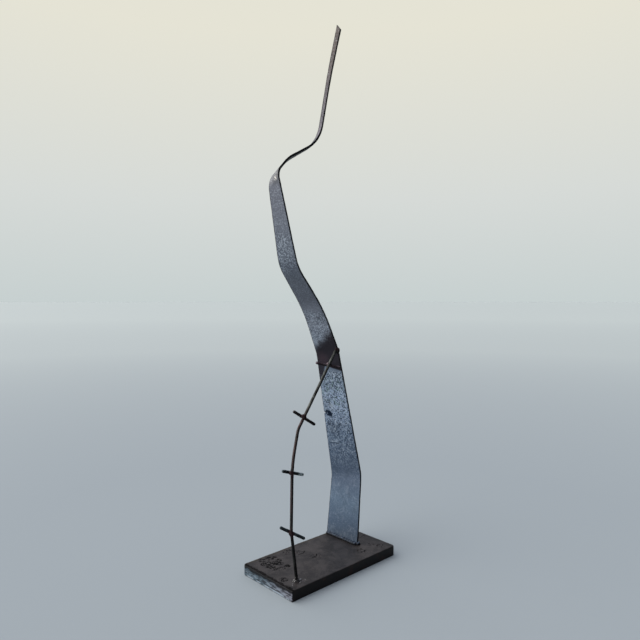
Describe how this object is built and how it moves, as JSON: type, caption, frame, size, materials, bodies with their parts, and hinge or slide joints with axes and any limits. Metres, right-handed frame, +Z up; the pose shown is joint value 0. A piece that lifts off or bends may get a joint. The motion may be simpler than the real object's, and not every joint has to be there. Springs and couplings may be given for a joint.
{
  "type": "abstract metal sculpture",
  "caption": "Tall abstract sculpture: a tapered flat steel bar bent up to a slanting spike, with a thin bent round bar and short cross pins leaning on it, on a flat steel plate.",
  "frame": {"origin": "middle of the plate's underside", "axes": "+X along the plate towards the end where the strap stands, +Y across the plate towards the far long side, with which the strap's foot is flush, +Z up"},
  "size_m": [0.27, 0.14, 1.0211],
  "materials": {
    "plate": "dark brown-grey mill scale with pitting, one end sawn bright",
    "strap": "mottled blue-grey steel with a dark heat stain",
    "rod": "dark bar with reddish brown welds",
    "pins": "dark bar, near black"
  },
  "bodies": {
    "root": {"base_plate": "plate", "strap": "strap", "rod": "rod", "cross_pin_1": "pins", "cross_pin_2": "pins", "cross_pin_3": "pins", "cross_pin_4": "pins"}
  },
  "joints": []
}
